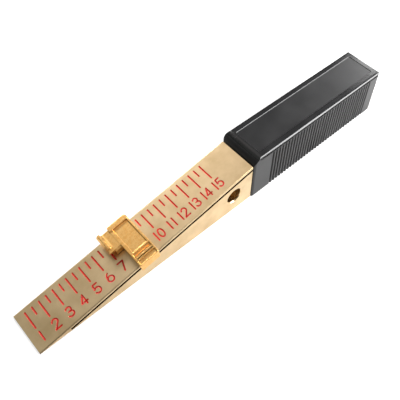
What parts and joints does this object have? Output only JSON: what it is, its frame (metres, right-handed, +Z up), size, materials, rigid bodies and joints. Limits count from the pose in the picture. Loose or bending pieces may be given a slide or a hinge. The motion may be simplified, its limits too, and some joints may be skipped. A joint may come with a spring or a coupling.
{
  "type": "taper gauge",
  "caption": "Brass taper gauge with a numbered slope, a cursor that slides along it, and a ribbed black plastic handle.",
  "frame": {"origin": "under the middle of the gauge, on the surface that it lies on", "axes": "+X along the gauge from the tip towards the handle, +Y towards the side with the scale marks, +Z up"},
  "size_m": [0.1586, 0.0182, 0.0208],
  "materials": {
    "satin_brass": "fine-ground satin brass",
    "black_moulding": "moulded black ABS with upright grip ribs",
    "black_cover": "moulded black ABS, semi-gloss",
    "screw_steel": "plain turned steel",
    "gilt_casting": "gold-plated die casting",
    "spring_bronze": "rolled spring bronze strip"
  },
  "bodies": {
    "gauge": {"wedge_blade": "satin_brass", "handle_shell": "black_moulding", "handle_cover": "black_cover", "tang_screw_front": "screw_steel", "tang_screw_rear": "screw_steel"},
    "cursor": {"cursor_body": "gilt_casting", "cursor_spring": "spring_bronze"}
  },
  "joints": [
    {"name": "cursor_slide", "type": "slide", "parent": "gauge", "child": "cursor", "axis": [0.9817, 0, 0.1906], "range_m": [-0.0315, 0.0429]}
  ]
}
